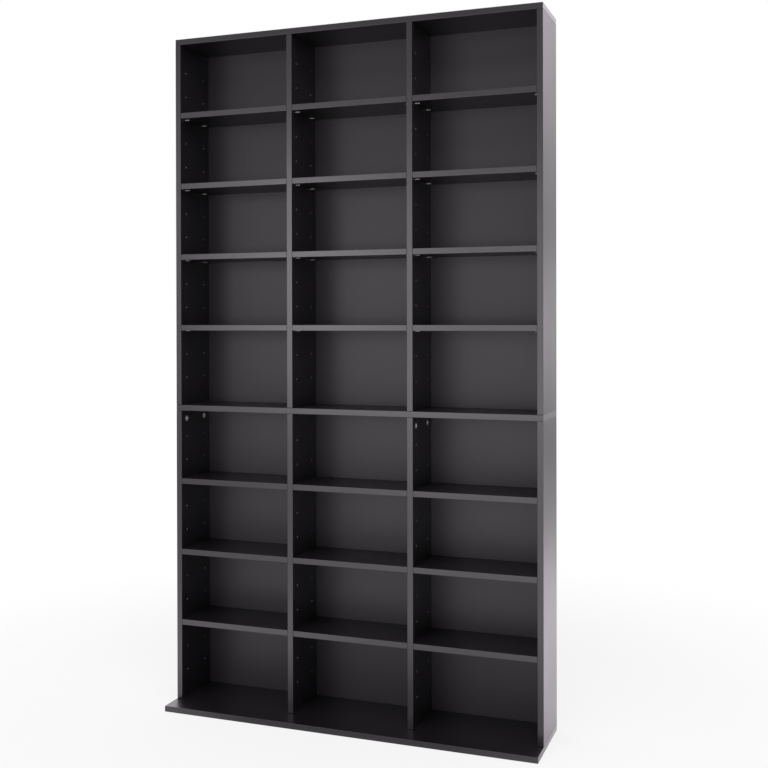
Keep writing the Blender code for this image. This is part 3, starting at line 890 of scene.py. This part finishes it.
def boltMesh():
    # The ball head's centre is the origin, and the thread points up.
    look = boltLook
    head, turns = look["head"], [radians(turn) for turn in look["headTurns"]]
    ball = [(head * cos(turn), head * sin(turn)) for turn in turns]
    heights = [look["threadStart"] + step * look["threadStep"] for step in range(look["threadRings"])]
    rings = [*circles(look["sides"], *ball, *look["shaft"]), *threadRings(look, heights, -1),
             *circles(look["sides"], look["tip"])]
    return softened(ringMesh("bolt", rings), 50.0)


dowelLook = {"radius": 0.004, "flute": 0.00035, "flutes": 12, "chamfer": 0.001, "taper": 0.75}


def dowelMesh(length):
    # A fluted dowel whose foot is the origin.
    look = dowelLook
    chamfer, taper = look["chamfer"], look["taper"]

    def fluted(scale, height):
        radius = look["radius"] * scale
        return ringOf([radius - look["flute"], radius, radius, radius] * look["flutes"], height)
    rings = [fluted(taper, 0.0), fluted(1.0, chamfer), fluted(1.0, length - chamfer), fluted(taper, length)]
    return softened(ringMesh("dowel", rings), 30.0)


def setOut(name, mesh, matrix, material):
    placed = mesh.copy()
    placed.transform(matrix)
    placed.materials.clear()
    placed.materials.append(material)
    return newPiece(name, placed)


cam, bolt = camMesh(), boltMesh()
camHeight = midFoot - uprightLook["camDrop"]
for name, index, faces, camFace in uprights:
    x = uprightX[index]
    for row, end in zip(holeRows, ("front", "rear")):
        node = f"cam_lock_{name}_{end}"
        place = Matrix.Translation((x + camFace * carcass["board"] / 2, carcass["front"] + row, camHeight))
        turn = Matrix.Rotation(camFace * pi / 2, 4, "Z") @ Matrix.Rotation(pi / 2, 4, "X")
        hand(setOut(f"camLock.{name}.{end}", cam, place @ turn, finish["zinc"]), node, "cast_zinc", node)
        seat = Matrix.Translation((x, carcass["front"] + row, camHeight))
        hand(setOut(f"camBolt.{name}.{end}", bolt, seat, finish["steel"]), "carcass", "plated_steel",
             f"cam_bolt_{name}_{end}")
    low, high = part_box(f"dowel_{name}")
    foot = Matrix.Translation((x, (low.y + high.y) / 2, low.z))
    dowel = setOut(f"dowel.{name}", dowelMesh(high.z - low.z), foot, finish["beech"])
    hand(dowel, "carcass", "beech", f"dowel_{name}")
print("locks, bolts and dowels set")


# Floor, world and lamps

stageLook = {
    "floor": (0.90, 0.90, 0.90), "floorSize": 60.0,
    "white": (0.78, 1.0), "fade": (0.8, 2.0),      # share of plain white that the camera sees, near and far
    "cast": (1.0, 0.945, 1.01),                    # the light's faint cast
    "soft": 0.70,                                  # the room's light on the object
    # Painted light on the floor, seen only in reflections: the floor's glow, by its distance in tens of
    # metres, in front of the object on the left and on the right, and behind it, brighter than white in
    # places
    "reflectedFloorGlowShare": 0.75, "distances": (0.03, 0.08, 0.16, 0.32, 0.7, 1.0),
    "reflectedFloorGlow": {"left": (0.15, 1.8, 1.1, 0.55, 0.8, 0.5), "right": (0.15, 1.3, 1.6, 1.35, 2.1, 2.2),
              "behind": (1.6, 2.1, 2.4, 1.15, 0.4, 1.1)},
    # The white of the room in reflections, by the sine of the height above the horizon
    "heights": (0.0, 0.08, 0.16, 0.26, 0.45, 1.0),
    "room": {"left": (0.1, 0.75, 1.4, 0.3, 0.1, 0.1), "right": (0.8, 1.15, 0.95, 0.1, 0.1, 0.1),
             "behind": (1.6, 0.65, 1.05, 1.75, 2.4, 2.4)},
    # Where left turns into right, and front into behind
    "sideTurn": (-0.6, 0.0), "backTurn": (-0.3, 0.3),
}

shape = bmesh.new()
bmesh.ops.create_grid(shape, x_segments=1, y_segments=1, size=stageLook["floorSize"] / 2)
floorMesh = bpy.data.meshes.new("floor")
shape.to_mesh(floorMesh)
shape.free()
floor = newPiece("floor", floorMesh)
floorPaint = bpy.data.materials.new("paleFloor")
floorPaint.use_nodes = True
board = NodeBoard(floorPaint.node_tree)
floorPaint.node_tree.nodes.remove(floorPaint.node_tree.nodes["Principled BSDF"])
place = board.add("ShaderNodeTexCoord", out="Object")
distance = board.add("ShaderNodeVectorMath", {"operation": "LENGTH"}, {0: place}, "Value")
sideways, backward = board.split(place)[:2]


def rays(board):
    # Whether a ray comes from the camera, and whether it comes from a mirroring or clear surface.
    seen = board.add("ShaderNodeLightPath", out="Is Camera Ray")
    return seen, board.other(seen, "Is Glossy Ray") + board.other(seen, "Is Transmission Ray")


def between(board, value, limits, ends):
    return board.add("ShaderNodeMapRange", {"interpolation_type": "SMOOTHSTEP"}, {
        "Value": value, "From Min": limits[0], "From Max": limits[1], "To Min": ends[0], "To Max": ends[1]})


def surround(board, value, stops, levels, side, back):
    # The level at a place on a scale, mixed from left, right and behind.
    def grey(key):
        return board.ramp(value, *((stop, (level,) * 3) for stop, level in zip(stops, levels[key])))
    toRight = between(board, side, stageLook["sideTurn"], (0.0, 1.0))
    toRear = between(board, back, stageLook["backTurn"], (0.0, 1.0))
    return board.blend(toRear, board.blend(toRight, grey("left"), grey("right")), grey("behind"))


seen, mirrored = rays(board)
lit = board.add("ShaderNodeBsdfDiffuse", {}, {"Color": colour4(stageLook["floor"])})
# Painted reflection: mirroring surfaces see the floor glow by side and distance, not the floor's own white
reflectedFloorGlow = surround(board, distance * 0.1, stageLook["distances"], stageLook["reflectedFloorGlow"],
                 sideways / distance, backward)
tint = board.blend(seen, stageLook["cast"], (1.0, 1.0, 1.0))
glow = board.add("ShaderNodeEmission", {}, {"Color": tint, "Strength": seen + mirrored * reflectedFloorGlow})
white = between(board, distance, stageLook["fade"], stageLook["white"])
share = seen * white + mirrored * stageLook["reflectedFloorGlowShare"]
mixed = board.add("ShaderNodeMixShader", {}, {0: share, 1: lit, 2: glow})
floorPaint.node_tree.links.new(mixed.link, floorPaint.node_tree.nodes["Material Output"].inputs["Surface"])
floorMesh.materials.append(floorPaint)

world = bpy.data.worlds.new("studio")
world.use_nodes = True
bpy.context.scene.world = world
board = NodeBoard(world.node_tree)
sky = world.node_tree.nodes["Background"]
sideways, backward, upward = board.split(board.add("ShaderNodeTexCoord", out="Generated"))
room = surround(board, upward, stageLook["heights"], stageLook["room"], sideways, backward)
seen, mirrored = rays(board)
strength = seen + mirrored * room + (1.0 - seen - mirrored) * stageLook["soft"]
tint = board.blend(seen, stageLook["cast"], (1.0, 1.0, 1.0))
world.node_tree.links.new(strength.link, sky.inputs["Strength"])
world.node_tree.links.new(tint.link, sky.inputs["Color"])

lampLook = {       # place, what it points at, width, height, power
    "frontSoftbox": ((-1.36, -2.70, 1.25), (-0.05, 0.0, 1.1), 0.90, 1.25, 8.4),
    "fillSoftbox": ((-0.30, -2.90, 1.07), (0.05, 0.0, 1.0), 1.15, 1.30, 4.0),
    "lowSoftbox": ((-0.85, -2.80, 0.45), (0.0, 0.0, 0.7), 0.90, 0.60, 1.0),
    "topSoftbox": ((0.7, -1.5, 3.3), (0.0, -0.3, 0.0), 1.60, 1.60, 36.0),
}
for name, (place, target, wide, tall, power) in lampLook.items():
    light = bpy.data.lights.new(name, "AREA")
    light.shape, light.size, light.size_y, light.energy = "RECTANGLE", wide, tall, power
    light.color = stageLook["cast"]
    lamp = bpy.data.objects.new(name, light)
    aim = (Vector(target) - Vector(place)).to_track_quat("-Z", "Y")
    lamp.matrix_world = Matrix.Translation(place) @ aim.to_matrix().to_4x4()
    bpy.context.scene.collection.objects.link(lamp)
print("stage lit")


# Camera, at the photograph's place

cameraLook = {"place": (1.0483, -2.5647, 1.0446), "yaw": 0.3429, "pitch": -0.0054, "roll": -0.0019,
              "lens": 49.773, "sensor": 36.0, "shift": (-0.0251, -0.0753), "reach": 100.0}
yaw, pitch, roll = (cameraLook[key] for key in ("yaw", "pitch", "roll"))
ahead = Vector((-sin(yaw) * cos(pitch), cos(yaw) * cos(pitch), sin(pitch)))
level = Vector((cos(yaw), sin(yaw), 0.0))
right = level * cos(roll) + level.cross(ahead) * sin(roll)
aloft = right.cross(ahead)
camera = bpy.data.objects.new("camera", bpy.data.cameras.new("camera"))
camera.data.lens, camera.data.sensor_width = cameraLook["lens"], cameraLook["sensor"]
camera.data.shift_x, camera.data.shift_y = cameraLook["shift"]
camera.data.clip_end = cameraLook["reach"]
facing = Matrix((right, aloft, -ahead)).transposed().to_4x4()
camera.matrix_world = Matrix.Translation(cameraLook["place"]) @ facing
bpy.context.scene.collection.objects.link(camera)
bpy.context.scene.camera = camera
bpy.context.scene.view_settings.view_transform = "Standard"
